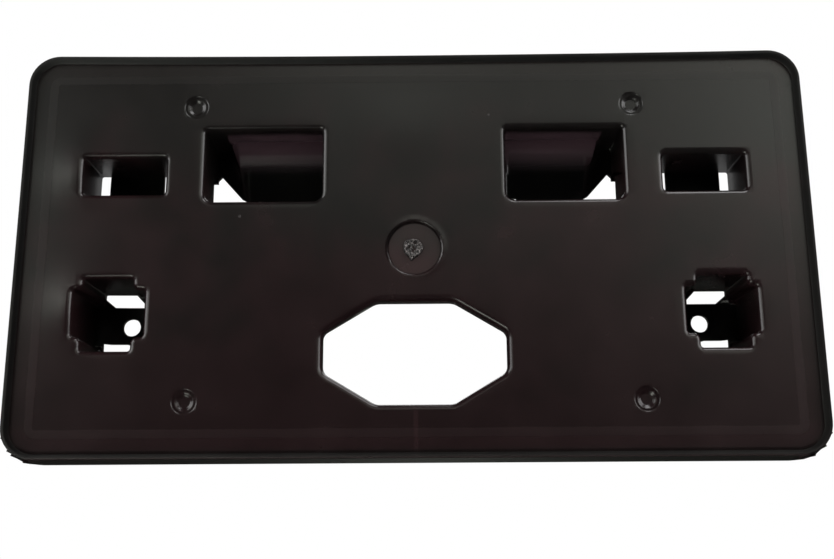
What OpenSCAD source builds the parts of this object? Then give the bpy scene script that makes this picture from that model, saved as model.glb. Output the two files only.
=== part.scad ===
// Number plate holder for a car bumper: one moulded piece.
// Frame: X right, Y back towards the bumper, Z up, in millimetres.
// Origin: centre of the four plate screw pilots, on the plane of the sunk field.

/* [Outline] */
// Overall width of the holder
body_w = 318; // [310:1:330]
// Overall height of the holder
body_h = 167.4; // [162:0.2:180]
// Radius of the four outer corners
corner_r = 14; // [10:0.5:20]
// Thickness of the field behind the plate
field_t = 2.6; // [2:0.1:4]
// Depth of the outer skirt behind the field
skirt_d = 12; // [8:0.5:20]
// Wall thickness of the skirt
skirt_t = 2.4; // [1.8:0.1:3]

/* [Rim] */
// Height of the rim crest above the field
crest_h = 3.4; // [2:0.1:4.5]
// Height of the outer shoulder above the field
shoulder_h = 1.9; // [1:0.1:2.5]
// Width of the outer shoulder, with its rounding
shoulder_w = 1.5; // [1.2:0.1:2.5]
// Width of the crest, with its two roundings
crest_w = 2.2; // [1.6:0.1:3]
// Lean of the inner rim wall from crest to foot
rim_lean = 0.4; // [0.2:0.1:1]
// Raised bead on the field: distance from the outer edge to its middle
bead_in = 12.2; // [9:0.2:16]
// Raised bead on the field: width
bead_w = 2.8; // [1.5:0.1:4]
// Raised bead on the field: height
bead_h = 0.12; // [0.08:0.02:0.4]
// Raised bead on the field: radius of its inner corners
bead_r = 9; // [4:0.5:12]

/* [Plate screws] */
// Distance between the plate screws, side to side
plate_dx = 177.8; // [170:0.1:190]
// Distance between the plate screws, top to bottom
plate_dz = 120.65; // [110:0.05:125]
// Radius of the screw pilot
pilot_r = 2.2; // [1.5:0.1:2.5]
// Depth of the blind pilot below the field
pilot_d = 3.2; // [3:0.1:5]
// Depth at which the lead-in cone ends
cone_d = 2; // [1.2:0.1:2.4]
// Radius of the lead-in cone at its mouth
lead_r = 3.7; // [3:0.1:4.5]
// Radius of the pilot boss on the back
boss_r = 5.6; // [4.5:0.1:7]

/* [Big pockets] */
// Distance from the side edge of the holder to a pocket
pocket_in = 74.2; // [60:0.1:80]
// Width of a pocket
pocket_w = 47.7; // [40:0.1:56]
// Height of a pocket's lower side above the middle
pocket_low = 20.1; // [14:0.1:24]
// Height of a pocket
pocket_h = 30.2; // [26:0.2:36]
// Depth of a pocket to its hook
pocket_d = 22; // [16:0.5:30]
// Radius of the lower pocket corners
pocket_r = 3.6; // [2.5:0.1:6]
// Radius of the curved run from the ceiling into the hook
scoop_r = 9; // [5:0.5:12]
// Distance from the outer side of a pocket to the top of the hook's edge
hook_in = 7.2; // [5:0.1:10]
// Distance from the outer side of a pocket to the foot of the hook's edge
foot_in = 13.9; // [11:0.1:18]
// Height of the foot of the hook's edge above the pocket's lower side
step_h = 7.4; // [6:0.1:11]
// Extra depth of a pocket beside its hook
side_d = 4; // [2:0.1:6]
// Height of the slanted window in a pocket's outer corner
window_h = 19.2; // [14:0.1:24]
// Height of the notch in the outer wall beside the window
notch_h = 12.1; // [8:0.1:16]

/* [Small slots] */
// Distance from the side edge of the holder to a slot
slot_in = 25.3; // [20:0.1:32]
// Width of a slot
slot_w = 33.3; // [28:0.1:40]
// Height of a slot's lower side above the middle
slot_low = 23.3; // [16:0.1:28]
// Height of a slot
slot_h = 15.5; // [12:0.1:22]
// Depth of the walls round a slot
slot_d = 24; // [16:0.5:30]
// Width of the clip tongue behind a slot
tongue_w = 22.6; // [16:0.2:26]
// Gap between the outer side of a slot and its tongue
tongue_in = 3.8; // [2:0.1:8]

/* [Screw wells] */
// Distance from the side edge of the holder to a bumper screw
screw_in = 40.5; // [36:0.1:46]
// Height of the bumper screws
screw_z = -26.1; // [-30:0.1:-22]
// Radius of the bumper screw hole
screw_r = 3.7; // [2.5:0.1:4.5]
// Distance from the side edge of the holder to the wide part of a well
arm_in = 24.6; // [22:0.1:32]
// Width of the wide part of a well
arm_w = 28; // [25:0.1:34]
// Height of the wide part of a well
arm_h = 18.6; // [16:0.1:22]
// Distance from the side edge of the holder to the tall part of a well
stem_in = 28.3; // [26:0.1:36]
// Width of the tall part of a well
stem_w = 19.5; // [16:0.1:24]
// Height of the tall part of a well
stem_h = 28.9; // [26:0.1:34]
// Depth of a well to its screw tab
well_d = 28; // [20:0.5:34]
// Height of the screw tab
tab_h = 15.3; // [12:0.1:18]
// Height of the opening below the screw tab
under_h = 7.3; // [6:0.1:10]

/* [Cable opening] */
// Width of the eight-sided opening
oct_w = 72.5; // [60:0.5:84]
// Height of the eight-sided opening
oct_h = 40.4; // [34:0.2:48]
// Height of its lower side above the middle
oct_low = -61.8; // [-66:0.2:-56]
// Length of its level sides
oct_flat = 30.6; // [20:0.2:40]
// Length of its upright sides
oct_side = 15.3; // [6:0.1:18]
// Radius of the corners of its level sides
oct_r = 7.2; // [4:0.1:10]
// Radius of the corners of its upright sides
oct_side_r = 4; // [2:0.1:6]
// Depth of its wall
oct_d = 5.3; // [4:0.1:14]

/* [Gate] */
// Radius of the sunk gate recess
gate_r = 11.5; // [8:0.1:14]
// Depth of the gate recess
gate_d = 1.2; // [1:0.1:2.2]
// Radius of the broken gate stub
stub_r = 3.8; // [2:0.1:5]
// Height of the stub above the recess floor
stub_h = 0.9; // [0.5:0.1:1]

/* [Walls] */
// Wall thickness of pockets, slots and wells
wall_t = 2.2; // [1.6:0.1:3]
// Thickness of hooks and tabs
tab_t = 2.2; // [1.8:0.1:4]
// Rounding of every opening's lip
lip_r = 2.2; // [1:0.1:2.6]
// Draft of the opening walls over their depth
draft = 0.35; // [0.1:0.05:0.6]
// Thickness of the ribs on the back
rib_t = 1.8; // [1.2:0.1:2.5]
// Depth of the ribs behind the field
rib_d = 6.5; // [4:0.5:9]

/* [Hidden] */
$fn = 48;
eps = 0.5;
half_w = body_w / 2;
half_h = body_h / 2;
pocket_x = [half_w - pocket_in - pocket_w, half_w - pocket_in];
pocket_z = [pocket_low, pocket_low + pocket_h];
slot_x = [half_w - slot_in - slot_w, half_w - slot_in];
slot_z = [slot_low, slot_low + slot_h];
screw_x = half_w - screw_in;
arm_x = [half_w - arm_in - arm_w, half_w - arm_in];
arm_z = [screw_z + 0.7 - arm_h / 2, screw_z + 0.7 + arm_h / 2];
stem_x = [half_w - stem_in - stem_w, half_w - stem_in];
stem_z = [screw_z + 0.15 - stem_h / 2, screw_z + 0.15 + stem_h / 2];
oct_z = [oct_low, oct_low + oct_h];
tongue_x = slot_x[1] - tongue_in - tongue_w / 2;
rim_w = shoulder_w + crest_w + rim_lean;
foot_w = 0.8;
edge_in = rim_w + foot_w;
colour = [0.09, 0.09, 0.09];

// An arc of points round a centre.
function arc(c, r, a0, a1, n) =
    [for (k = [0 : n]) c + r * [cos(a0 + (a1 - a0) * k / n), sin(a0 + (a1 - a0) * k / n)]];

// One rounded corner of an outline, moved outwards by d.
function unit(v) = v / norm(v);
function corner(p, a, b, r, d, n) =
    let (u = unit(a - p))
    let (v = unit(b - p))
    let (half = acos(u * v) / 2)
    let (turn = cross(-u, v) >= 0 ? 1 : -1)
    let (c = p + unit(u + v) * r / sin(half))
    let (t = p + u * r / tan(half) - c)
    let (a0 = atan2(t[1], t[0]))
    arc(c, r + turn * d, a0, a0 + turn * (180 - 2 * half), n);

// A rounded outline through its corners [x, z, radius], anticlockwise, moved outwards by d.
function outline(corners, d, n) =
    let (m = len(corners))
    [for (i = [0 : m - 1])
        let (p = corners[i], a = corners[(i + m - 1) % m], b = corners[(i + 1) % m])
        each corner([p[0], p[1]], [a[0], a[1]], [b[0], b[1]], p[2], d, n)];

// A box outline with its own radius at the lower and the upper corners.
function box_corners(x, z, low_r, high_r) =
    [[x[0], z[0], low_r], [x[1], z[0], low_r], [x[1], z[1], high_r], [x[0], z[1], high_r]];

pocket = box_corners(pocket_x, pocket_z, pocket_r, 1.1);
slot = box_corners(slot_x, slot_z, 1.5, 1.2);
well_r = 1.1;
notch_r = max(lip_r, wall_t) + 0.3;
well = [
    [stem_x[0], stem_z[0], well_r], [stem_x[1], stem_z[0], well_r],
    [stem_x[1], arm_z[0], notch_r], [arm_x[1], arm_z[0], well_r],
    [arm_x[1], arm_z[1], well_r], [stem_x[1], arm_z[1], notch_r],
    [stem_x[1], stem_z[1], well_r], [stem_x[0], stem_z[1], well_r],
    [stem_x[0], arm_z[1], notch_r], [arm_x[0], arm_z[1], well_r],
    [arm_x[0], arm_z[0], well_r], [stem_x[0], arm_z[0], notch_r]];
oct_mid = (oct_z[0] + oct_z[1]) / 2;
octagon = [
    [-oct_flat / 2, oct_z[0], oct_r], [oct_flat / 2, oct_z[0], oct_r],
    [oct_w / 2, oct_mid - oct_side / 2, oct_side_r], [oct_w / 2, oct_mid + oct_side / 2, oct_side_r],
    [oct_flat / 2, oct_z[1], oct_r], [-oct_flat / 2, oct_z[1], oct_r],
    [-oct_w / 2, oct_mid + oct_side / 2, oct_side_r], [-oct_w / 2, oct_mid - oct_side / 2, oct_side_r]];

// A flat outline given depth from y0 to y1.
module slab(y0, y1) {
    translate([0, y1, 0])
        rotate([90, 0, 0])
            linear_extrude(y1 - y0)
                children();
}

// Both sides of the holder.
module pair() {
    children();
    mirror([1, 0, 0])
        children();
}

// The hollow of an opening: rounded lip, then a wall with draft down to its depth.
module hollow(corners, depth, n) {
    steps = 4;
    lip = [for (k = [0 : steps]) [lip_r * (1 - cos(90 * k / steps)), lip_r * (1 - sin(90 * k / steps))]];
    rings = concat([[-1, lip_r]], lip, [[depth, -draft]]);
    m = len(outline(corners, 0, n));
    last = len(rings) - 1;
    skin = [for (q = rings) for (p = outline(corners, q[1], n)) [p[0], q[0], p[1]]];
    mid = [for (a = [0, 1]) [for (p = corners) p[a]] * [for (p = corners) 1 / len(corners)]];
    points = concat(skin, [[mid[0], rings[0][0], mid[1]], [mid[0], depth, mid[1]]]);
    sides = [for (k = [0 : last - 1]) for (i = [0 : m - 1])
        [k * m + i, k * m + (i + 1) % m, (k + 1) * m + (i + 1) % m, (k + 1) * m + i]];
    front = [for (i = [0 : m - 1]) [len(skin), (i + 1) % m, i]];
    back = [for (i = [0 : m - 1]) [len(skin) + 1, last * m + i, last * m + (i + 1) % m]];
    polyhedron(points, concat(sides, front, back));
}

// The wall round an opening, closed or open at the back by its depth.
module casing(corners, depth, n) {
    slab(1, depth)
        polygon(outline(corners, wall_t, n));
}

// Section of the rim: x is measured out from the corner's centre, y is height in front.
module rim_section() {
    out = corner_r;
    s1 = out - shoulder_w;
    s2 = s1 - crest_w;
    foot = s2 - rim_lean;
    polygon(concat(
        [[foot - foot_w - 1, 0], [foot - foot_w, 0], [foot - 0.25, 0.2], [foot, 0.7]],
        arc([s2 + 0.8, crest_h - 0.8], 0.8, 170, 100, 3),
        arc([s1 - 0.8, crest_h - 0.8], 0.8, 80, 10, 3),
        [[s1 + 0.12, shoulder_h]],
        arc([out - 1, shoulder_h - 1], 1, 82, 8, 3),
        [[out, 0], [out - 0.25, -skirt_d], [out - 0.25 - skirt_t + 0.4, -skirt_d]],
        [[out - skirt_t, -field_t], [foot - foot_w - 1, -field_t]]));
}

module rim_bar(length) {
    translate([0, 0, length / 2])
        rotate([180, 0, 0])
            linear_extrude(length)
                rim_section();
}

// The raised rim and the skirt behind it, all round.
module rim() {
    cx = half_w - corner_r;
    cz = half_h - corner_r;
    for (k = [0, 1]) {
        rotate([0, 180 * k, 0]) {
            translate([cx, 0, 0])
                rim_bar(2 * cz);
            translate([0, 0, cz])
                rotate([0, -90, 0])
                    rim_bar(2 * cx);
            translate([cx, 0, cz])
                rotate([90, 0, 0])
                    rotate_extrude(angle = 90)
                        rim_section();
            translate([-cx, 0, cz])
                rotate([0, -90, 0])
                    rotate([90, 0, 0])
                        rotate_extrude(angle = 90)
                            rim_section();
        }
    }
}

// A rounded rectangle, set in from the outer edge by d, with its own corner radius.
module inset(d, r) {
    cx = half_w - d - r;
    cz = half_h - d - r;
    square([2 * cx, 2 * (cz + r)], center = true);
    square([2 * (cx + r), 2 * cz], center = true);
    for (x = [-cx, cx]) for (z = [-cz, cz])
        translate([x, z])
            circle(r);
}

// The field behind the plate, with its raised bead.
module field() {
    slab(0, field_t)
        inset(edge_in, corner_r - edge_in);
    slab(-bead_h, field_t / 2)
        difference() {
            inset(bead_in - bead_w / 2, bead_r + bead_w);
            inset(bead_in + bead_w / 2, bead_r);
        }
}

// Thin ribs on the back, upright and level, that stop at the wall of the cable opening.
module ribs() {
    side = half_w - skirt_t - 0.5;
    top = half_h - skirt_t - 0.5;
    depth = field_t + rib_d - 1;
    difference() {
        union() {
            for (x = [pocket_x[0] - 12, (pocket_x[1] + slot_x[0]) / 2, slot_x[1] + 10])
                pair()
                    translate([x - rib_t / 2, 1, -top])
                        cube([rib_t, depth, 2 * top]);
            for (z = [-plate_dz / 2, 6, plate_dz / 2])
                translate([-side, 1, z - rib_t / 2])
                    cube([2 * side, depth, rib_t]);
        }
        slab(oct_d - 0.6, oct_d + depth + 1)
            polygon(outline(octagon, wall_t - 0.5, 5));
    }
}

// Bosses behind the plate screws and the gate.
module bosses() {
    for (x = [-1, 1]) for (z = [-1, 1])
        translate([x * plate_dx / 2, 1, z * plate_dz / 2])
            rotate([-90, 0, 0])
                cylinder(h = pilot_d + 1, r = boss_r);
    translate([0, 1, 0])
        rotate([-90, 0, 0])
            cylinder(h = field_t + gate_d - 1, r = gate_r + 2.4);
}

// The mouth, lead-in cone and blind pilot of one plate screw.
module pilot() {
    rotate([-90, 0, 0])
        rotate_extrude()
            polygon([
                [0, -1], [lead_r + 1.2, -1], [lead_r + 1.2, 0], [lead_r + 0.6, 0.4], [lead_r + 0.5, 0.6],
                [lead_r, 0.6], [pilot_r + 0.1, cone_d], [pilot_r, cone_d + 0.1], [pilot_r, pilot_d],
                [0, pilot_d]]);
}

// The sunk round of the gate, with the broken stub left standing.
module gate_recess() {
    rotate([-90, 0, 0])
        rotate_extrude()
            polygon([
                [stub_r - 0.5, -1], [gate_r + 0.8, -1], [gate_r + 0.8, 0], [gate_r + 0.45, 0.08],
                [gate_r + 0.15, 0.3], [gate_r - 0.1, gate_d - 0.55], [gate_r - 0.3, gate_d - 0.25],
                [gate_r - 0.65, gate_d], [stub_r + 0.5, gate_d], [stub_r + 0.2, gate_d - 0.3],
                [stub_r - 0.4, gate_d - stub_h], [stub_r - 0.5, gate_d - stub_h]]);
    translate([0, -1, 0])
        rotate([-90, 0, 0])
            cylinder(h = 1 + gate_d - stub_h, r = stub_r - 0.1);
}

// Clip tongue behind a small slot: a short arm over the slot and a blade hanging from it.
module slot_tongue() {
    y1 = slot_d + 0.5;
    translate([tongue_x - tongue_w / 2, slot_d - 6, slot_z[1] + 0.1])
        cube([tongue_w, 6.5 + tab_t, wall_t - 0.1]);
    slab(y1, y1 + tab_t)
        polygon([
            [tongue_x - tongue_w / 2 + 1.5, slot_z[0] + 3], [tongue_x + tongue_w / 2 - 1.5, slot_z[0] + 3],
            [tongue_x + tongue_w / 2, slot_z[0] + 6], [tongue_x + tongue_w / 2, slot_z[1] + wall_t],
            [tongue_x - tongue_w / 2, slot_z[1] + wall_t], [tongue_x - tongue_w / 2, slot_z[0] + 6]]);
}

// Lines of the hook inside a big pocket.
hook_top = pocket_x[1] - hook_in;
hook_low = pocket_x[1] - foot_in;
step_z = pocket_z[0] + step_h;

// Deeper outer part of a pocket, beside the hook; it also trims the end of the scoop.
module pocket_side() {
    slab(pocket_d - scoop_r - 1, pocket_d + side_d)
        intersection() {
            polygon(outline(pocket, -draft, 5));
            polygon([
                [hook_top, pocket_z[1]], [hook_low, step_z], [hook_low, pocket_z[0]],
                [pocket_x[1], pocket_z[0]], [pocket_x[1], pocket_z[1]]]);
        }
}

// Open corner low on the outer side of a pocket, cut across on the slant, and the notch
// that carries it through the outer wall.
module pocket_window() {
    x1 = pocket_x[1] - draft;
    z0 = pocket_z[0] + draft;
    z1 = pocket_z[0] + window_h;
    y1 = pocket_d + side_d + tab_t + 1;
    slab(pocket_d + side_d - eps, y1)
        polygon([
            [hook_low + 0.5, z0 + 3.3], [x1 - 3.6, z0 + 0.2], [x1, z0 + 3.6], [x1, z1 - 1.7],
            [x1 - 1.6, z1], [hook_low + 3.1, step_z + 1.9], [hook_low + 0.5, step_z + 0.5]]);
    slab(pocket_d - 3, y1)
        translate([x1 - eps, z0 + 3.3])
            square([wall_t + draft + 1, notch_h]);
}

// Curved run from the ceiling of a pocket into its hook.
module pocket_scoop() {
    x0 = pocket_x[0] - 1;
    mid = [pocket_d + 0.05 - scoop_r, pocket_z[1] - 0.15 - scoop_r];
    translate([x0, 0, 0])
        rotate([90, 0, 90])
            linear_extrude(hook_top + 1 - x0)
                polygon(concat(
                    [[pocket_d + eps, pocket_z[1] + eps], [mid[0], pocket_z[1] + eps]],
                    arc(mid, scoop_r, 90, 0, 9)));
}

// A big pocket's casing, which is deeper on its outer side.
module pocket_casing() {
    casing(pocket, pocket_d + tab_t, 5);
    slab(pocket_d, pocket_d + side_d + tab_t)
        intersection() {
            polygon(outline(pocket, wall_t, 5));
            translate([hook_low - 3, pocket_z[0] - 2 * wall_t])
                square([foot_in + 3 + 2 * wall_t, pocket_h + 4 * wall_t]);
        }
}

// Narrow open gap beside the hook, on the right-hand pocket only.
module hook_gap() {
    slab(pocket_d - eps, pocket_d + 2 * tab_t)
        polygon([
            [pocket_x[0] + 2.7, step_z + 10.8], [pocket_x[0] + 2.7, pocket_z[0] + 3],
            [pocket_x[0] + 6.2, pocket_z[0] + 3], [pocket_x[0] + 6.2, step_z + 1.6],
            [pocket_x[0] + 4.1, step_z + 2.8], [pocket_x[0] + 3.3, step_z + 10.8]]);
}

// Openings left above and below the screw tab of a well, and the screw hole.
module tab_cuts() {
    tab_z = [stem_z[0] + under_h, stem_z[0] + under_h + tab_h];
    y0 = well_d - eps;
    y1 = well_d + tab_t + 1;
    shy = draft + 0.15;
    x0 = stem_x[0] + shy;
    x1 = stem_x[1] - shy;
    z0 = stem_z[0] + shy;
    z1 = stem_z[1] - shy;
    slab(y0, y1)
        polygon([
            [x0 + 1.9, tab_z[1]], [x1 - 4.6, tab_z[1]], [x1, tab_z[1] + 3.8],
            [x1, z1], [x0 + 5.7, z1], [x0 + 1.9, tab_z[1] + 1.8]]);
    slab(y0, y1)
        polygon([
            [x0 + 1.8, z0], [x1 - 1.8, z0], [x1, z0 + 1.8],
            [x1, tab_z[0] + 0.3], [x1 - 3, tab_z[0]], [x0, tab_z[0]], [x0, z0 + 1.8]]);
    translate([screw_x, y0, screw_z])
        rotate([-90, 0, 0])
            cylinder(h = tab_t + 4, r = screw_r);
}

// Floor of a well: the screw tab, with a raised ring on its back that bears on the bumper.
module tab_floor() {
    slab(well_d, well_d + tab_t)
        polygon(outline(well, wall_t / 2, 4));
    translate([screw_x, well_d + 1, screw_z])
        rotate([-90, 0, 0])
            difference() {
                cylinder(h = tab_t + 0.5, r = screw_r + 3.4);
                translate([0, 0, tab_t - 1])
                    cylinder(h = 3, r = screw_r + 1.2);
            }
}

module plate_holder() {
    color(colour)
    difference() {
        union() {
            difference() {
                union() {
                    rim();
                    field();
                    ribs();
                    bosses();
                    casing(octagon, oct_d, 5);
                    pair() {
                        pocket_casing();
                        casing(slot, slot_d, 4);
                        casing(well, well_d + tab_t + 0.3, 4);
                        slot_tongue();
                    }
                }
                pair()
                    hollow(well, well_d + tab_t + 1, 4);
            }
            pair()
                tab_floor();
        }
        hollow(octagon, oct_d + 1, 5);
        pair() {
            difference() {
                hollow(pocket, pocket_d, 5);
                pocket_scoop();
            }
            pocket_side();
            pocket_window();
            hollow(slot, slot_d + 0.5, 4);
            tab_cuts();
        }
        hook_gap();
        gate_recess();
        for (x = [-1, 1]) for (z = [-1, 1])
            translate([x * plate_dx / 2, 0, z * plate_dz / 2])
                pilot();
    }
}

plate_holder();
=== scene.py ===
# %% [markdown]
# # A number plate holder, dressed around its CAD solid
# The real object is one injection moulding in near black plastic. It is screwed to a
# bumper, and a number plate is screwed to its front. The CAD solid already holds its true
# size, so this file adds what a solid can't say: smooth lips, the slight warp of a thin
# moulding, the torn gate and the satin finish. The frame is in metres, with X to the
# right, Y back towards the bumper and Z up. Shapes are worked out in millimetres.

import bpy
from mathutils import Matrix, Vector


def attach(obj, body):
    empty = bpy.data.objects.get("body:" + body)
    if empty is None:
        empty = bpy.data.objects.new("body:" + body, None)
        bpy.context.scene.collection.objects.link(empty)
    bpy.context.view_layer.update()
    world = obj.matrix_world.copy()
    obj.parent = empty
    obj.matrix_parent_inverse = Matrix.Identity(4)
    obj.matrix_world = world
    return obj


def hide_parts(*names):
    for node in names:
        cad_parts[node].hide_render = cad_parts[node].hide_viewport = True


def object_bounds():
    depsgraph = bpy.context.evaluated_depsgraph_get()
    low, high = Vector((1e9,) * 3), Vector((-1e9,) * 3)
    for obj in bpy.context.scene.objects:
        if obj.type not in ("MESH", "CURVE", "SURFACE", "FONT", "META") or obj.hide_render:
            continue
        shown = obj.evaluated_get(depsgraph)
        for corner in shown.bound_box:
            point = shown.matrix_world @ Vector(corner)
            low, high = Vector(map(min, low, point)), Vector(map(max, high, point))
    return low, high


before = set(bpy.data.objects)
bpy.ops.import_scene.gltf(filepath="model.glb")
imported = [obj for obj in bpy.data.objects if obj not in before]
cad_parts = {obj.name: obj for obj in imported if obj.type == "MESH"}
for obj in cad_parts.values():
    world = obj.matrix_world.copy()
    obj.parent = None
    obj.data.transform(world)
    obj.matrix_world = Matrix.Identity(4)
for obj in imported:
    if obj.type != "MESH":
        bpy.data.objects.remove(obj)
cad_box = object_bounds()
print("CAD box, mm:", [tuple(round(1000 * v, 1) for v in corner) for corner in cad_box])

# %% [markdown]
# ## The camera
# The photograph was taken from the front and from below the middle, looking up, so upright
# lines lean together towards the top. The place, turn and focal length came from fitting
# the four screw pilots, whose rectangle is a standard size, and then the rim and the
# openings, to where they lie in the picture. A shift of a few thousandths stands for the
# small crop of the picture.

# %% Camera
import math

import bmesh
import bpy
import numpy as np
from mathutils import Euler, Vector

MM = 0.001
CAMERA_PLACE = Vector((3.954, -389.202, -104.057)) * MM
CAMERA_TURN = (103.008, 0.323, 0.531)
camera = bpy.data.objects.new("camera", bpy.data.cameras.new("camera"))
bpy.context.collection.objects.link(camera)
camera.location = CAMERA_PLACE
camera.rotation_euler = Euler([math.radians(angle) for angle in CAMERA_TURN])
camera.data.sensor_width = 36
camera.data.lens = 43.866
camera.data.shift_x = 0.0005
camera.data.shift_y = 0.0037
bpy.context.scene.camera = camera
print("camera below the middle, mm:", round(-camera.location.z / MM, 1))

# %% [markdown]
# ## Small helpers for node trees
# Every finish below is a tree of nodes. Short helpers keep the trees readable: one adds a
# node and sets its values, and others wire an output to an input or start a material.


# %% Node helpers
def add(tree, kind, settings=None, **inputs):
    """Adds a node, sets its properties, then the values of its named inputs."""
    made = tree.nodes.new(kind)
    for name, value in (settings or {}).items():
        setattr(made, name, value)
    for name, value in inputs.items():
        made.inputs[name.replace("_", " ")].default_value = value
    return made


def wire(tree, source, target):
    tree.links.new(source, target)


def give(tree, value, socket):
    """Wires an output to a socket, or sets the socket to a plain value."""
    if isinstance(value, bpy.types.NodeSocket):
        wire(tree, value, socket)
    else:
        socket.default_value = value


def blank_material(name):
    material = bpy.data.materials.new(name)
    material.use_nodes = True
    material.node_tree.nodes.clear()
    return material, material.node_tree


def put_out(tree, shader, kind="ShaderNodeOutputMaterial"):
    """Wires a shader's output to a new output node."""
    wire(tree, shader, add(tree, kind).inputs["Surface"])


# %% [markdown]
# ## Sums for masks
# A mask is a number from 0 to 1 that says how much of something there is at a point. The
# same few sums make all of them: ramps with level ends, products, and distances.


# %% Sums for masks
def math_node(tree, operation, *values):
    """One Math node: each value is a number or another node's output."""
    made = add(tree, "ShaderNodeMath", {"operation": operation})
    for socket, value in zip(made.inputs, values):
        give(tree, value, socket)
    return made.outputs[0]


def product(tree, *values):
    """The values multiplied together."""
    result = values[0]
    for value in values[1:]:
        result = math_node(tree, "MULTIPLY", result, value)
    return result


def linear(tree, value, times, plus):
    """value * times + plus."""
    return math_node(tree, "MULTIPLY_ADD", value, times, plus)


def faded(tree, value, mask, share=1.0):
    """value * (1 - share * mask): takes a share of the value away where the mask is one."""
    return product(tree, value, linear(tree, mask, -share, 1.0))


def ramp(tree, value, ends):
    """Rises from 0 at the first end to 1 at the second, with level ends."""
    made = add(tree, "ShaderNodeMapRange", {"interpolation_type": "SMOOTHSTEP"})
    made.inputs["From Min"].default_value = ends[0]
    made.inputs["From Max"].default_value = ends[1]
    wire(tree, value, made.inputs["Value"])
    return made.outputs["Result"]


def between(tree, value, rise, fall):
    """A window: the product of a ramp up and a ramp down."""
    return product(tree, ramp(tree, value, rise), ramp(tree, value, fall))


def beside(tree, value, middle, ends):
    """A ramp of how far the value is from a middle, to either side."""
    off = math_node(tree, "SUBTRACT", value, middle)
    return ramp(tree, math_node(tree, "ABSOLUTE", off), ends)


def length_of(tree, a, b):
    """The length of the slant over a and b: the root of a * a + b * b."""
    squares = [math_node(tree, "MULTIPLY", value, value) for value in (a, b)]
    return math_node(tree, "SQRT", math_node(tree, "ADD", *squares))


def mix(tree, share, first, second, kind="RGBA"):
    """A Mix node for two colours or two vectors, each an output or a plain value."""
    made = add(tree, "ShaderNodeMix", {"data_type": kind, "clamp_factor": False})
    give(tree, share, made.inputs["Factor"])
    give(tree, first, made.inputs["A"])
    give(tree, second, made.inputs["B"])
    return made.outputs["Result"]


def mix_shaders(tree, share, first, second):
    made = add(tree, "ShaderNodeMixShader")
    for value, socket in zip((share, first.outputs[0], second.outputs[0]), made.inputs):
        wire(tree, value, socket)
    return made.outputs[0]


# %% [markdown]
# ## Surfaces from numpy
# A shape here is a function of two parameters, worked out on a grid of rows and columns.
# Where a grid closes on itself its first column is met again by its last, and a row that
# shrinks to one point is a pole. Merging the doubles closes both.


# %% Grid surface
def surface(name, points, rows, columns, material=None, closed=False):
    """A mesh over a grid of points, rows by columns, with one four sided face per cell."""
    index = np.arange(rows * columns).reshape(rows, columns)
    quads = np.stack([index[:-1, :-1], index[:-1, 1:], index[1:, 1:], index[1:, :-1]], -1)
    mesh = bpy.data.meshes.new(name)
    mesh.from_pydata(np.asarray(points, float).tolist(), [], quads.reshape(-1, 4).tolist())
    if closed:
        work = bmesh.new()
        work.from_mesh(mesh)
        bmesh.ops.remove_doubles(work, verts=work.verts, dist=1e-7)
        bmesh.ops.recalc_face_normals(work, faces=work.faces)
        work.to_mesh(mesh)
        work.free()
    mesh.shade_smooth()
    made = bpy.data.objects.new(name, mesh)
    bpy.context.collection.objects.link(made)
    if material:
        mesh.materials.append(material)
    return made


# %% [markdown]
# ## The surround
# A product photograph on white has a white surround. Here the world is white for the
# camera, for reflections and through glass, and a plain grey for everything else, so that
# it doesn't wash the plastic out.

# %% World
OTHER_RAYS = 0.4
world = bpy.data.worlds.new("surround")
world.use_nodes = True
bpy.context.scene.world = world
tree = world.node_tree
tree.nodes.clear()
path = add(tree, "ShaderNodeLightPath")
seen = math_node(tree, "MAXIMUM", path.outputs["Is Camera Ray"], path.outputs["Is Glossy Ray"])
seen = math_node(tree, "MAXIMUM", seen, path.outputs["Is Transmission Ray"])
white = add(tree, "ShaderNodeBackground", Color=(1, 1, 1, 1), Strength=1.0)
grey = add(tree, "ShaderNodeBackground", Color=(1, 1, 1, 1), Strength=OTHER_RAYS)
put_out(tree, mix_shaders(tree, seen, grey, white), "ShaderNodeOutputWorld")
print("surround: 1 for the camera,", OTHER_RAYS, "for the light it gives")

# %% [markdown]
# ## The floor
# The holder stands on a pale floor that keeps its shadow. The camera is lower than the
# floor, so the floor is one sided: from below it lets everything through. In side views
# its far end would show as a grey wedge, so for the camera it also fades into the white
# between half a metre and a metre and a half from the holder.

# %% Floor
FLOOR_R, FLOOR_STEPS = 4.0, 9
FLOOR_FADE = (0.5, 1.5)
floor_z = cad_box[0].z
pale, tree = blank_material("pale_floor")
plain = add(tree, "ShaderNodeBsdfPrincipled", Base_Color=(0.8, 0.8, 0.79, 1), Roughness=0.9)
clear = add(tree, "ShaderNodeBsdfTransparent")
far = add(tree, "ShaderNodeVectorMath", {"operation": "LENGTH"})
wire(tree, add(tree, "ShaderNodeTexCoord").outputs["Object"], far.inputs[0])
seen = add(tree, "ShaderNodeLightPath").outputs["Is Camera Ray"]
fade = product(tree, ramp(tree, far.outputs["Value"], FLOOR_FADE), seen)
below = add(tree, "ShaderNodeNewGeometry").outputs["Backfacing"]
put_out(tree, mix_shaders(tree, math_node(tree, "MAXIMUM", below, fade), plain, clear))

span = np.linspace(-FLOOR_R, FLOOR_R, FLOOR_STEPS)
gx, gy = np.meshgrid(span, span)
corners = np.stack([gx, gy, gx * 0 + floor_z], -1).reshape(-1, 3)
floor = surface("floor", corners, FLOOR_STEPS, FLOOR_STEPS, pale)
floor.visible_glossy = False
print("floor at, mm:", round(floor_z / MM, 2))

# %% [markdown]
# ## The lamps
# Soft boxes on both sides and above light the face evenly, and a fourth behind the holder
# keeps its back readable. Their levels are plain, at which a colour renders about as it is
# written.


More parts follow.
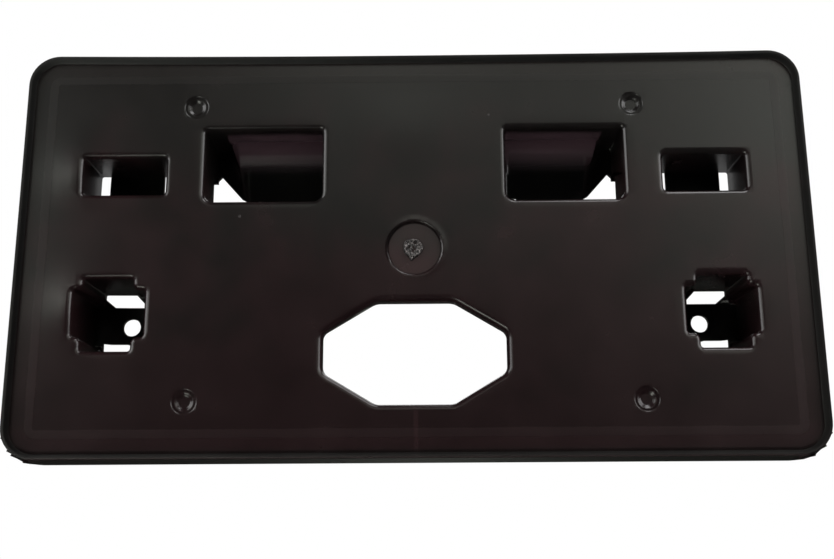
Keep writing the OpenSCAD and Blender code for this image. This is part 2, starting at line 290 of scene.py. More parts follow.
# %% Soft boxes
def soft_box(name, place, width, height, power):
    """A soft rectangular lamp at a place, turned towards the middle of the holder."""
    lamp = bpy.data.lights.new(name, "AREA")
    lamp.shape = "RECTANGLE"
    lamp.size, lamp.size_y, lamp.energy = width, height, power
    made = bpy.data.objects.new(name, lamp)
    bpy.context.collection.objects.link(made)
    made.location = place
    made.rotation_euler = (-Vector(place)).to_track_quat("-Z", "Y").to_euler()
    print(name, "at", place, "power", power)


soft_box("box_right", (1.06, -0.34, 0.42), 0.95, 0.8, 9.0)
soft_box("box_left", (-1.06, -0.34, 0.42), 0.95, 0.8, 9.0)
soft_box("box_top", (0.36, -0.38, 1.08), 0.5, 0.5, 4.5)
soft_box("box_back", (0.2, 0.9, 0.8), 1.0, 0.6, 7.0)

# %% [markdown]
# ## The room in the reflections
# Near black plastic shows little colour of its own: most of what the eye reads on it is
# the room mirrored in its satin skin. The photographed one stood in a dim room, with
# bright patches on the left, on the right and high in the middle, and a lit table low on
# the left. A sphere that only reflections see stands for that room, with a weaker glow
# behind the holder for its back. The glow is worked out for each direction, and stored on
# the sphere's points.

# %% Room
ROOM_R = 3.0
ROOM_ROWS, ROOM_COLUMNS = 73, 145
GLOW_TINT = (0.96, 1.0, 0.9, 1)

# Each glow of the room: azimuth and height of its middle, its spread in degrees, its strength.
GLOWS = (
    (-37, 15, 8, 2.9), (-3, 33, 8, 1.5), (0, 22, 9, 0.3), (20, 34, 10, 0.55), (33, 22, 10, 2.3),
    (20, 22, 10, 0.45), (-37, -36, 9, 8.0), (180, -20, 35, 0.04), (180, -3, 7, 0.9))


def toward(azimuth, height):
    """The direction at an azimuth right of straight ahead, and a height angle."""
    a, h = math.radians(azimuth), math.radians(height)
    return np.array([math.sin(a) * math.cos(h), -math.cos(a) * math.cos(h), math.sin(h)])


def glow_spot(ways, azimuth, height, spread):
    """A soft spot: exp of minus the squared share of the spread that the angle from it is."""
    angle = np.degrees(np.arccos(np.clip(ways @ toward(azimuth, height), -1, 1)))
    return np.exp(-(angle / spread) ** 2)


def only_in_reflections(made):
    """Hides an object from every kind of ray but the glossy ones."""
    for ray in ("camera", "diffuse", "shadow", "transmission", "volume_scatter"):
        setattr(made, "visible_" + ray, False)


turn, tilt = np.meshgrid(
    np.linspace(0, 2 * math.pi, ROOM_COLUMNS), np.linspace(-math.pi / 2, math.pi / 2, ROOM_ROWS))
ways = np.stack([np.cos(tilt) * np.sin(turn), -np.cos(tilt) * np.cos(turn), np.sin(tilt)], -1)
ways = ways.reshape(-1, 3)
glow = sum(strength * glow_spot(ways, *spot) for *spot, strength in GLOWS)

dim_room, tree = blank_material("dim_room")
stored = add(tree, "ShaderNodeAttribute", {"attribute_name": "glow"})
shine = add(tree, "ShaderNodeEmission", Color=GLOW_TINT)
wire(tree, stored.outputs["Fac"], shine.inputs["Strength"])
put_out(tree, shine.outputs[0])
room = surface("room", ways * ROOM_R, ROOM_ROWS, ROOM_COLUMNS, dim_room)
glow_values = room.data.attributes.new("glow", "FLOAT", "POINT").data
glow_values.foreach_set("value", glow.astype(np.float32))
only_in_reflections(room)
print("room glow from", round(float(glow.min()), 3), "to", round(float(glow.max()), 2))

# %% [markdown]
# ## White behind the slots
# In each small slot the outer wall mirrors the white behind the holder, through the gap
# beside the clip tongue. The room's sphere is too far off to light only that gap, so a
# small white card stands behind each slot. It faces forward, and only reflections see it.

# %% Cards
CARD_X, CARD_Z, CARD_Y = (112, 152), (14, 62), 60
CARD_STEPS = 5
bounce, tree = blank_material("white_card")
lit = add(tree, "ShaderNodeEmission", Strength=0.4)
clear = add(tree, "ShaderNodeBsdfTransparent")
behind = add(tree, "ShaderNodeNewGeometry").outputs["Backfacing"]
put_out(tree, mix_shaders(tree, behind, lit, clear))
for side_name, sign in (("right", 1), ("left", -1)):
    along_x = sign * np.linspace(*CARD_X, CARD_STEPS)[::sign]
    gx, gz = np.meshgrid(along_x, np.linspace(*CARD_Z, CARD_STEPS))
    corners = np.stack([gx, gx * 0 + CARD_Y, gz], -1).reshape(-1, 3) * MM
    card = surface("card_" + side_name, corners, CARD_STEPS, CARD_STEPS, bounce)
    only_in_reflections(card)
    print("card faces", [round(v, 1) for v in card.data.polygons[0].normal])

# %% [markdown]
# ## The moulding
# The CAD node is loose triangles, shaded flat. A copy whose doubles are merged can be
# shaded smoothly, which turns the four steps of each lip into one round. It could have
# been drawn again as surfaces, but the copy keeps every opening exactly where the solid
# has it. The solid's low bead near the edge of the field is flattened in the copy, because
# the photograph shows only a faint band of texture there, which is left to the finish.

# %% Merged copy of the node
MERGE = 2e-6
BEAD_Y = (-0.2 * MM, -0.02 * MM)
BEAD_FROM_EDGE, BEAD_FROM_GATE = 8 * MM, 20 * MM


def on_bead(place):
    """Whether a place is on the low bead, between the rim and the middle of the field."""
    past_edge = max(abs(place.x) - cad_box[1].x, abs(place.z) - cad_box[1].z)
    on_face = past_edge < -BEAD_FROM_EDGE and math.hypot(place.x, place.z) > BEAD_FROM_GATE
    return on_face and BEAD_Y[0] < place.y < BEAD_Y[1]


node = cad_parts["plate_holder"]
work = bmesh.new()
work.from_mesh(node.data)
bmesh.ops.remove_doubles(work, verts=work.verts, dist=MERGE)
bead = [point for point in work.verts if on_bead(point.co)]
bmesh.ops.scale(work, vec=(1, 0, 1), verts=bead)
print("merged copy:", len(work.verts), "points, of which", len(bead), "on the bead")

# %% [markdown]
# ## Cells that can bend
# The copy's flat areas are long triangles, which can't bend. So the flat areas are first
# joined into single faces, and then cut along a grid of planes 5 mm apart. Round the gate,
# where the sunk round and the low swelling beside it are small, the planes are closer.

# %% Cut copy
GRID = 5.0 * MM
FINE, FINE_R = 0.8 * MM, 17 * MM


def everything(work):
    return work.verts[:] + work.edges[:] + work.faces[:]


def round_the_gate(work):
    """The faces whose middle is within FINE_R of the gate, with their edges and points."""
    faces = [face for face in work.faces if math.hypot(*face.calc_center_median().xz) < FINE_R]
    rest = [part for face in faces for part in (*face.verts, *face.edges)]
    return list(dict.fromkeys(rest)) + faces


def cut_across(work, choose, axis, places):
    """Cuts the chosen faces along a plane across one axis at each place."""
    line = Vector([float(i == axis) for i in range(3)])
    for place in places:
        bmesh.ops.bisect_plane(
            work, geom=choose(work), dist=1e-7, plane_co=line * float(place), plane_no=line)


bmesh.ops.remove_doubles(work, verts=work.verts, dist=MERGE)
bmesh.ops.dissolve_degenerate(work, dist=1e-6, edges=work.edges)
bmesh.ops.dissolve_limit(
    work, angle_limit=math.radians(0.3), use_dissolve_boundaries=False,
    verts=work.verts, edges=work.edges, delimit=set())
for axis in (0, 2):
    cut_across(work, everything, axis, np.arange(cad_box[0][axis] + GRID, cad_box[1][axis], GRID))
for axis in (0, 2):
    cut_across(work, round_the_gate, axis, np.arange(-FINE_R, FINE_R, FINE))
print("cut copy:", len(work.verts), "points,", len(work.faces), "faces")
shell = bpy.data.meshes.new("holder_moulding")
work.to_mesh(shell)
work.free()
shell.materials.clear()

# %% [markdown]
# ## Warp and sink
# Thin mouldings are never quite flat. The photograph shows the long top edge bowed down at
# its middle and soft swellings beside the left-hand openings. Each is a smooth function of
# a point's place, added to all of the copy's points at once.


# %% Bowed points
def points_in_mm(mesh):
    """The places of a mesh's points in millimetres, one row each."""
    places = np.empty(len(mesh.vertices) * 3)
    mesh.vertices.foreach_get("co", places)
    return places.reshape(-1, 3) / MM


def smooth_step(values, low, high):
    """Rises from 0 at low to 1 at high with level ends: t * t * (3 - 2 * t)."""
    t = np.clip((values - low) / (high - low), 0, 1)
    return t * t * (3 - 2 * t)


def swelling(x, z, middle, spread):
    """A round hill: exp of minus the squared distance, each axis over its own spread."""
    return np.exp(-((x - middle[0]) / spread[0]) ** 2 - ((z - middle[1]) / spread[1]) ** 2)


HALF_W, HALF_H = cad_box[1].x / MM, cad_box[1].z / MM
BOW, BOW_Z = 1.1, (66, 80)
WAVE = 0.12

# Each swelling: its middle, its spread along X and Z, and how far it stands out.
SWELLINGS = (
    ((-135, 33), (9, 10), 1.3),
    ((-132.5, -22.5), (10, 11), 1.6),
    ((-2, 50), (20, 13), 0.35))

points = points_in_mm(shell)
x, y, z = points.T.copy()
points[:, 2] -= BOW * (1 - (x / HALF_W) ** 2) * smooth_step(z, *BOW_Z)
for middle, spread, rise in SWELLINGS:
    points[:, 1] -= rise * swelling(x, z, middle, spread)
points[:, 1] += WAVE * np.sin(x / 31 + 0.7) * np.sin(z / 23 + 0.3)
print("warped by up to, mm:", round(float(abs(points[:, 1] - y).max()), 2))

# %% [markdown]
# ## A narrower rim
# The real holder's rim is narrower than the solid's, and meets the field in a sharp corner.
# Each point near the edge is moved along its way to the edge, by an amount that depends on
# how far in it lies. That way is along one axis beside the straight runs, and away from the
# middle of the arc at a corner.

# %% Rim
CORNER_R = 14.0
RIM_FROM = (-7.0, -5.2, -4.1, -3.7, -1.5)
RIM_TO = (-7.0, -3.52, -3.45, -3.05, -1.5)
past_x, past_z = abs(x) - HALF_W + CORNER_R, abs(z) - HALF_H + CORNER_R
reach = np.hypot(np.maximum(past_x, 0), np.maximum(past_z, 0))
round_part = (past_x > 0) & (past_z > 0)
inset = np.where(round_part, reach, np.maximum(past_x, past_z)) - CORNER_R
on_rim_face = (y < 0.02) & (inset > RIM_FROM[0])
push = np.where(on_rim_face, np.interp(inset, RIM_FROM, RIM_TO) - inset, 0)
way_x = np.where(round_part, past_x / np.maximum(reach, 1e-6), past_x >= past_z)
way_z = np.where(round_part, past_z / np.maximum(reach, 1e-6), past_x < past_z)
points[:, 0] += push * way_x * np.sign(x)
points[:, 2] += push * way_z * np.sign(z)
print("rim points moved outwards by up to, mm:", round(float(push.max()), 2))

# %% [markdown]
# ## Shallow screw pilots
# In the photograph each pilot is a shallower and wider bowl than the blind hole of the
# solid. Its profile is followed by the sum of how far in and how deep a point lies, and
# laid out again. The field round its mouth is eased outwards to meet the wider bowl.

# %% Pilots
PILOTS = (88.9, 60.325)
MOUTH_R, EASE_R = 4.9, 8
PILOT_DEPTHS = (-0.05, 3.3)
PILOT_RUN = (0.0, 1.0, 1.3, 1.8, 4.6, 4.8, 5.9, 8.1)
PILOT_R = (5.15, 4.8, 4.65, 3.85, 2.4, 2.25, 2.15, 0.0)
PILOT_Y = (0.0, 0.25, 0.45, 0.5, 1.5, 1.56, 1.6, 1.6)
in_pilot = (y > PILOT_DEPTHS[0]) & (y < PILOT_DEPTHS[1])
for sign_x, sign_z in ((-1, -1), (-1, 1), (1, -1), (1, 1)):
    dx, dz = x - sign_x * PILOTS[0], z - sign_z * PILOTS[1]
    r = np.hypot(dx, dz)
    bowl = in_pilot & (r < MOUTH_R + 0.01)
    run = MOUTH_R - r + y
    eased = r + (PILOT_R[0] - MOUTH_R) * np.clip((EASE_R - r) / (EASE_R - MOUTH_R), 0, 1)
    new_r = np.where(bowl, np.interp(run, PILOT_RUN, PILOT_R), eased)
    scale = np.where(in_pilot & (r > 0.01) & (r < EASE_R), new_r / np.maximum(r, 0.01), 1)
    points[:, 0] += (scale - 1) * dx
    points[:, 2] += (scale - 1) * dz
    points[bowl, 1] += np.interp(run[bowl], PILOT_RUN, PILOT_Y) - y[bowl]
    print("pilot at", sign_x * PILOTS[0], sign_z * PILOTS[1], "points", int(bowl.sum()))

# %% [markdown]
# ## The gap beside the hook
# The gap beside the right-hand hook is a sliver with a short foot. Each point on the edge of
# the solid's gap keeps its share of the way between two corners.

# %% Hook gap
GAP_DEPTHS = (21, 30)
GAP_FROM = ((39.8, 38.3), (39.8, 23.1), (43.3, 23.1), (43.3, 29.1), (41.2, 30.3), (40.4, 38.3))
GAP_TO = ((40.0, 37.0), (40.0, 23.1), (43.1, 23.1), (43.1, 27.5), (40.2, 26.9), (40.03, 37.0))
ON_LINE, ON_CORNER = 0.03, 0.002
in_depth = (y > GAP_DEPTHS[0]) & (y < GAP_DEPTHS[1])
for k in range(len(GAP_FROM)):
    start, end = np.array(GAP_FROM[k]), np.array(GAP_FROM[(k + 1) % len(GAP_FROM)])
    along = end - start
    share = ((x - start[0]) * along[0] + (z - start[1]) * along[1]) / (along @ along)
    off = np.hypot(x - start[0] - share * along[0], z - start[1] - share * along[1])
    on_edge = in_depth & (off < ON_LINE) & (share > -ON_CORNER) & (share < 1 - ON_CORNER)
    new_start, new_end = np.array(GAP_TO[k]), np.array(GAP_TO[(k + 1) % len(GAP_TO)])
    moved = new_start + share[on_edge, None] * (new_end - new_start)
    points[on_edge, 0] = moved[:, 0]
    points[on_edge, 2] = moved[:, 1]
    print("gap edge", k, "points", int(on_edge.sum()))

# %% [markdown]
# ## The sunk round of the gate
# The sunk round is a little smaller than the solid's, so points near its wall are drawn in
# towards the gate. A low swelling runs round it, and is lost on its lower left: it is a
# ridge in the distance from the gate, times a lobe in the angle.

# %% Sunk round
WALL_R, WALL_W, DRAWN_IN = 11.3, 2.0, 0.8
RING_R, RING_W, RING_H = 11.75, 0.68, 0.32
RING_TURN = math.radians(40)
ROUND_DEPTHS = (-0.6, 0.9)
out = np.hypot(x, z)
turned = np.arctan2(z, x)
front = (y > ROUND_DEPTHS[0]) & (y < ROUND_DEPTHS[1])
drawn_in = np.where(front, DRAWN_IN * np.exp(-((out - WALL_R) / WALL_W) ** 4), 0)
points[:, 0] -= drawn_in * np.cos(turned)
points[:, 2] -= drawn_in * np.sin(turned)
lobe = np.clip(0.35 + 0.65 * np.cos(turned - RING_TURN), 0, 1)
ridge = RING_H * np.exp(-((out - drawn_in - RING_R) / RING_W) ** 2) * lobe
points[:, 1] -= np.where(front & (out > WALL_R - 0.05), ridge, 0)
print("swelling round the gate, mm:", round(float(ridge.max()), 2))

# %% [markdown]
# ## Notches
# The notch beside each pocket's window ends level with the window's corner, so its top edge
# is raised.

# %% Notches
NOTCH_TOP, NOTCH_RISE, NOTCH_X, NOTCH_DEPTH = 35.85, 1.7, (83.5, 89), 18
at_top = (np.abs(z - NOTCH_TOP) < 0.05) & (y > NOTCH_DEPTH)
at_top &= (np.abs(x) > NOTCH_X[0]) & (np.abs(x) < NOTCH_X[1])
points[at_top, 2] += NOTCH_RISE
print("notch points:", int(at_top.sum()))

# %% [markdown]
# ## The plain stub
# The plain stub of the solid shrinks and sinks under the torn one, which stands a little
# off centre. The floor of the sunk round is pulled along with it, less and less outwards.

# %% Plain stub
STUB, STUB_R = (-0.5, 0.15), 3.8
STUB_DEPTHS = (-0.6, 1.3)
SHRINK, PULL_R = 0.25, (4.4, 8.0)
TOP_R, TOP_DEPTH, SINK = 4.2, 1.15, 0.35
near = (y > STUB_DEPTHS[0]) & (y < STUB_DEPTHS[1])
pull = np.where(near, 1 - smooth_step(out, *PULL_R), 0)
points[:, 0] += pull * (STUB[0] - SHRINK * x)
points[:, 2] += pull * (STUB[1] - SHRINK * z)
points[near & (out < TOP_R) & (y < TOP_DEPTH), 1] += SINK
shell.vertices.foreach_set("co", (points * MM).ravel())
shell.update()
print("points pulled to the torn stub:", int((pull > 0).sum()))

# %% [markdown]
# ## Smooth shading
# Edges of more than 36 degrees stay sharp. Weighted normals let the large flat faces decide
# the shading, so that the rounds of the lips don't darken the field beside them.

# %% Smooth shading
shell.shade_smooth()
moulding = bpy.data.objects.new("holder_moulding", shell)
bpy.context.collection.objects.link(moulding)
shell.set_sharp_from_angle(angle=math.radians(36))
weigh = moulding.modifiers.new("weigh", "WEIGHTED_NORMAL")
weigh.keep_sharp = True
weigh.weight = 100
print("moulding:", len(shell.vertices), "points")

# %% [markdown]
# ## Node groups for the finish
# Two effects are shared by the moulding and the torn gate. One is the grain that the
# spark-eroded mould leaves, with the slow mottle of flow marks. The other is dust: a few
# cells of a pattern are chosen, and each holds one speck. Each is a group with named
# inputs, built once.

# %% Shared groups
FLOAT, VECTOR = "NodeSocketFloat", "NodeSocketVector"
SPECK_SPREAD, SPECK_LEAST = 0.03, 0.012


def new_group(name, inputs, outputs):
    """An empty node group with float or vector inputs and float outputs."""
    made = bpy.data.node_groups.new(name, "ShaderNodeTree")
    for label, kind, value in inputs:
        socket = made.interface.new_socket(name=label, in_out="INPUT", socket_type=kind)
        if value is not None:
            socket.default_value = value
    for label in outputs:
        made.interface.new_socket(name=label, in_out="OUTPUT", socket_type=FLOAT)
    return made, made.nodes.new("NodeGroupInput"), made.nodes.new("NodeGroupOutput")


grain_group, ends_in, ends_out = new_group(
    "moulded_grain", (("Place", VECTOR, None), ("Fineness", FLOAT, 3.0)), ("Height", "Mottle"))
fine = add(grain_group, "ShaderNodeTexNoise", Detail=3.0, Roughness=0.65)
slow = add(grain_group, "ShaderNodeTexNoise", Scale=0.045, Detail=4.0, Roughness=0.6)
for noise in (fine, slow):
    wire(grain_group, ends_in.outputs["Place"], noise.inputs["Vector"])
wire(grain_group, ends_in.outputs["Fineness"], fine.inputs["Scale"])
wire(grain_group, fine.outputs["Fac"], ends_out.inputs["Height"])
wire(grain_group, slow.outputs["Fac"], ends_out.inputs["Mottle"])

dust_group, ends_in, ends_out = new_group(
    "dust_specks", (("Place", VECTOR, None), ("Closeness", FLOAT, 0.12), ("Share", FLOAT, 0.3)),
    ("Specks",))
cells = add(dust_group, "ShaderNodeTexVoronoi")
wire(dust_group, ends_in.outputs["Place"], cells.inputs["Vector"])
wire(dust_group, ends_in.outputs["Closeness"], cells.inputs["Scale"])
lone = add(dust_group, "ShaderNodeSeparateColor")
wire(dust_group, cells.outputs["Color"], lone.inputs[0])
chosen = math_node(dust_group, "LESS_THAN", lone.outputs[0], ends_in.outputs["Share"])
size = linear(dust_group, lone.outputs[1], SPECK_SPREAD, SPECK_LEAST)
inside = math_node(dust_group, "LESS_THAN", cells.outputs["Distance"], size)
wire(dust_group, product(dust_group, inside, chosen), ends_out.inputs["Specks"])
print("groups:", grain_group.name, dust_group.name)

# %% [markdown]
# ## The satin plastic: where things are
# The finish is a near black, slightly warm plastic with a fine spark-eroded grain. What
# changes over the surface is a mask, worked out from the place in millimetres. Many masks
# need the distance from the holder's edge. For a point outside a rounded rectangle's
# straight part that distance is the length of what is left over on both axes, less the
# radius. The bow of the top edge is undone first.


# %% Places on the moulding
def place_in_mm(tree):
    """Object coordinates in millimetres."""
    where = add(tree, "ShaderNodeTexCoord")
    scaled = add(tree, "ShaderNodeMapping", {"vector_type": "POINT"})
    scaled.inputs["Scale"].default_value = (1 / MM, 1 / MM, 1 / MM)
    wire(tree, where.outputs["Object"], scaled.inputs["Vector"])
    return scaled.outputs["Vector"]


def axes_of(tree, vector):
    """The three outputs of a Separate XYZ node."""
    apart = add(tree, "ShaderNodeSeparateXYZ")
    wire(tree, vector, apart.inputs[0])
    return apart.outputs


def use_group(tree, group, place, **values):
    made = add(tree, "ShaderNodeGroup", {"node_tree": group}, **values)
    wire(tree, place, made.inputs["Place"])
    return made


def noise_at(tree, place, **values):
    """The grey of a noise texture at a place."""
    made = add(tree, "ShaderNodeTexNoise", **values)
    wire(tree, place, made.inputs["Vector"])
    return made.outputs["Fac"]


def frame_distance(tree, x, z, half_x, half_z, radius):
    """Signed distance from a rounded rectangle: negative inside it, positive outside."""
    over = [math_node(tree, "SUBTRACT", math_node(tree, "ABSOLUTE", value), half - radius)
            for value, half in ((x, half_x), (z, half_z))]
    length = length_of(tree, *[math_node(tree, "MAXIMUM", value, 0.0) for value in over])
    within = math_node(tree, "MINIMUM", math_node(tree, "MAXIMUM", *over), 0.0)
    return math_node(tree, "SUBTRACT", math_node(tree, "ADD", length, within), radius)


BOWED_Z = (66.0, 79.0)
satin, tree = blank_material("satin_moulding")
place = place_in_mm(tree)
px, py, pz = axes_of(tree, place)
facet = add(tree, "ShaderNodeNewGeometry").outputs["Normal"]
grain = use_group(tree, grain_group, place, Fineness=3.2)
dust = use_group(tree, dust_group, place, Closeness=0.07, Share=0.2)
rag = noise_at(tree, place, Scale=1.1, Detail=4.0, Roughness=0.7)
across = math_node(tree, "DIVIDE", px, HALF_W)
arch = linear(tree, product(tree, across, across), -BOW, BOW)
unbowed = linear(tree, ramp(tree, pz, BOWED_Z), arch, pz)
from_edge = frame_distance(tree, px, unbowed, HALF_W, HALF_H, CORNER_R)
print("half width and height, mm:", round(HALF_W, 2), round(HALF_H, 2))

# %% [markdown]
# ## The band of texture
# A faint band of coarser texture runs round the field near its edge, and along the top and
# bottom the border outside it is coarser too. Their edges are ragged, so a little noise is
# added to the distance from the holder's edge before the ramps. The field is made paler just
# under the top edge. Each pair below is where a ramp starts and ends, in millimetres.

# %% Band and border
BAND_IN, BAND_OUT = (-12.6, -11.6), (-8.3, -9.6)
BORDER_IN, BORDER_Z = (-10.8, -9.8), (67.0, 73.0)
FIELD_Y, FRONT_Y, PALER_TOP_Z = (0.6, 0.3), (0.6, 0.1), (70.0, 78.0)
RAG = 1.2
on_field = beside(tree, py, 0.0, FIELD_Y)
on_front = ramp(tree, py, FRONT_Y)
ragged = linear(tree, rag, RAG, from_edge)
band = product(tree, between(tree, ragged, BAND_IN, BAND_OUT), on_field)
over_under = beside(tree, pz, 0.0, BORDER_Z)
border = product(tree, ramp(tree, ragged, BORDER_IN), over_under, on_field)
near_top = product(tree, ramp(tree, pz, PALER_TOP_Z), on_field)
print("band from", BAND_OUT[0], "to", BAND_IN[0], "mm inside the edge")

# %% [markdown]
# ## The dark rim
# The rim leans inwards and mirrors the dark side of the room, so it is painted darker, all
# but its outermost edge and a thin line along its lower run. The foot of the lower run has
# painted shade as well. The very bottom of the rim catches light from the table, and is
# painted paler.

# %% Rim masks
RIM_IN, RIM_OUT, FOOT_IN = (-3.7, -3.4), (-0.5, -1.1), (-5.0, -4.3)
LOWER_RUN_Z, LOW_EDGE_Z = (-76.0, -79.0), (-81.4, -82.6)
THIN_LINE, THIN_LINE_W = -2.35, (0.4, 0.15)
SHOULDER, SHOULDER_W = -1.5, (0.45, 0.15)
on_rim = ramp(tree, from_edge, RIM_IN)
lower_run = ramp(tree, pz, LOWER_RUN_Z)
# Painted light on the very bottom of the rim, from the table.
low_edge_light = ramp(tree, pz, LOW_EDGE_Z)
thin_line = product(tree, lower_run, beside(tree, from_edge, THIN_LINE, THIN_LINE_W))
shoulder = beside(tree, from_edge, SHOULDER, SHOULDER_W)
# Painted dark reflection on the rim.
painted_dark_rim = product(tree, on_rim, ramp(tree, from_edge, RIM_OUT), on_front)
painted_dark_rim = faded(tree, painted_dark_rim, thin_line, 0.8)
painted_dark_rim = product(tree, painted_dark_rim, linear(tree, shoulder, -0.3, 0.95))
# Painted shade on the foot of the lower run.
foot_shade = product(tree, lower_run, ramp(tree, from_edge, FOOT_IN), on_front, 0.6)
painted_dark_rim = math_node(tree, "MAXIMUM", painted_dark_rim, faded(tree, foot_shade, on_rim))
painted_dark_rim = faded(tree, painted_dark_rim, low_edge_light)
print("rim from the edge to", RIM_IN[0], "mm inside it")

# %% [markdown]
# ## Pilots and gate
# Painted shade makes a dark ring round each screw pilot, where its wall faces away from the
# light. The sunk round of the gate is paler than the field, and its wall has painted shade on the
# left.

# %% Pilot and gate masks
GROOVE_IN, GROOVE_OUT = (3.75, 3.95), (4.7, 4.3)
ROUND_OUT, ROUND_Y = (10.6, 10.0), (2.3, 1.9)
WALL_IN, WALL_OUT, WALL_LEFT = (9.9, 10.2), (11.8, 11.4), (6.5, 9.5)
pilot_x = math_node(tree, "SUBTRACT", math_node(tree, "ABSOLUTE", px), PILOTS[0])
pilot_z = math_node(tree, "SUBTRACT", math_node(tree, "ABSOLUTE", pz), PILOTS[1])
from_pilot = length_of(tree, pilot_x, pilot_z)
# Painted shade: a dark ring in each pilot.
groove_shade = product(tree, between(tree, from_pilot, GROOVE_IN, GROOVE_OUT), 0.55)
from_gate = length_of(tree, px, pz)
in_round = product(tree, ramp(tree, from_gate, ROUND_OUT), ramp(tree, py, ROUND_Y))
on_left = ramp(tree, linear(tree, pz, 0.3, product(tree, px, -1.0)), WALL_LEFT)
# Painted shade on the left of the gate's sunk wall.
round_wall_shade = product(tree, between(tree, from_gate, WALL_IN, WALL_OUT), on_left, 0.7)
# All the painted shade together; it also leans the normal.
painted_shade_parts = math_node(tree, "MAXIMUM", math_node(tree, "MAXIMUM", painted_dark_rim, groove_shade), round_wall_shade)
print("nodes for the dark parts:", len(tree.nodes))

# %% [markdown]
# ## Inside the openings
# Deep inside the openings, whatever faces the front is painted darker, as shade. The run
# from a pocket's ceiling into its hook is painted paler and redder than the rest, for the
# light it catches from below. Its mask grows with the height, ends at the slanted side of
# the hook and at the pocket's inner wall, and stops short of the back of the walls. A faint
# line also runs down from the cable opening, where two slides of the mould meet.

# %% Depth masks
DEEP_Y, FACING = (3.5, 9.0), (0.80, 0.97)
HOOK_SLANT, HOOK_X, HOOK_EDGE = 0.30, 62.5, (-0.3, 0.8)
INNER_WALL_X, HOOK_RUN_Z = (33.0, 34.0), (37.5, 49.0)
BEHIND_Y, OVER_Z = (23.4, 22.8), (51.2, 50.7)
LINE_X, LINE_W, LINE_Z = 0.3, (1.3, 0.5), (-62.0, -66.0)
deep = ramp(tree, py, DEEP_Y)
facing = ramp(tree, product(tree, axes_of(tree, facet)[1], -1.0), FACING)
# Painted shade on deep faces that look to the front.
deep_shade = product(tree, deep, facing)
away = math_node(tree, "ABSOLUTE", px)
hook_line = linear(tree, pz, HOOK_SLANT, HOOK_X)
hook_side = ramp(tree, math_node(tree, "SUBTRACT", hook_line, away), HOOK_EDGE)
inner_wall = ramp(tree, away, INNER_WALL_X)
high = ramp(tree, pz, HOOK_RUN_Z)
not_behind = product(tree, ramp(tree, py, BEHIND_Y), ramp(tree, pz, OVER_Z))
# Painted light on the run from the ceiling into the hook.
scoop_light = product(tree, hook_side, inner_wall, high, deep, not_behind)
witness = product(tree, beside(tree, px, LINE_X, LINE_W), ramp(tree, pz, LINE_Z))
print("nodes for all masks:", len(tree.nodes))

# %% [markdown]
# ## Tone
# The tone is how much of the plastic's own colour shows: the slow mottle, plus a share of
# each mask, some of which are painted shade and painted light. On the band and the border
# it follows the ragged noise, so that they look speckled. It never falls to nothing, because
# even the darkest plastic shows a little.

# %% Tone
LEAST_TONE = 0.1
tone = linear(tree, grain.outputs["Mottle"], 0.9, 0.55)
speckle = linear(tree, rag, 1.9, -0.65)
tone = linear(tree, math_node(tree, "MAXIMUM", band, border), speckle, tone)
# Painted shade on the deep faces and the dark parts, painted light on the low edge of the rim.
for mask, change in (
        (near_top, 0.7), (witness, 0.6), (deep_shade, -0.85), (in_round, 2.2), (low_edge_light, 6.0),
        (painted_shade_parts, -0.35)):
    tone = linear(tree, mask, change, tone)
tone = math_node(tree, "MAXIMUM", tone, LEAST_TONE)
print("tone is at least", LEAST_TONE)

# %% [markdown]
# ## Colour
# The colour wanders between a cool and a warm black. It is warmer low down, and cooler on
# the rim and in the sunk round. The painted light on the run of the hooks, and the dust, are laid
# over it.

# %% Colour
PLASTIC_COOL = (0.0072, 0.0058, 0.0055, 1)
PLASTIC_WARM = (0.0120, 0.0050, 0.0056, 1)
# The colour of the painted light on the run into the hook.
SCOOP_LIGHT_COLOUR = (0.060, 0.036, 0.043, 1)
DUST_COLOUR = (0.11, 0.10, 0.10, 1)
WARM_PER_MM, WARM_ENDS, COOL_IN = -0.0035, (0.28, 0.62), (-6.0, -3.5)
wide = noise_at(tree, place, Scale=0.022, Detail=3.0, Roughness=0.55)
warm = ramp(tree, linear(tree, pz, WARM_PER_MM, wide), WARM_ENDS)
warm = faded(tree, warm, ramp(tree, from_edge, COOL_IN), 0.7)
warm = faded(tree, warm, in_round, 0.5)
colour = mix(tree, tone, (0, 0, 0, 1), mix(tree, warm, PLASTIC_COOL, PLASTIC_WARM))
colour = mix(tree, scoop_light, colour, SCOOP_LIGHT_COLOUR)
colour = mix(tree, product(tree, dust.outputs["Specks"], 0.3), colour, DUST_COLOUR)
print("plastic from", PLASTIC_COOL[:3], "to", PLASTIC_WARM[:3])

# %% [markdown]
# ## Gloss and relief
# The satin comes from the roughness, which follows the mottle and is higher on the band
# and the rim. The grain is a bump of a few hundredths of a millimetre. Satin plastic still
# mirrors a bright room where it should look dark, so the dark parts turn their normal to
# the front and a little down, to where the room is dark.

# %% Skin of the moulding
LEAN_DEEP = (0, 0, -0.25)
LEAN_DARK = (0, -1, -0.28)
GRAIN_HEIGHT = 0.04 * MM
rough = linear(tree, grain.outputs["Mottle"], 0.08, 0.22)
rough = linear(tree, band, 0.05, rough)
rough = linear(tree, product(tree, on_rim, on_front), 0.22, rough)
height = product(tree, grain.outputs["Height"], 0.5)
height = linear(tree, band, rag, height)
lean = add(tree, "ShaderNodeVectorMath", {"operation": "SCALE"})
lean.inputs[0].default_value = LEAN_DEEP
wire(tree, deep_shade, lean.inputs["Scale"])
leaned = add(tree, "ShaderNodeVectorMath", {"operation": "ADD"})
wire(tree, facet, leaned.inputs[0])
wire(tree, lean.outputs["Vector"], leaned.inputs[1])
flatter = mix(tree, product(tree, painted_shade_parts, 0.85), leaned.outputs["Vector"], LEAN_DARK, "VECTOR")
bump = add(tree, "ShaderNodeBump", Strength=0.5, Distance=GRAIN_HEIGHT)
wire(tree, flatter, bump.inputs["Normal"])
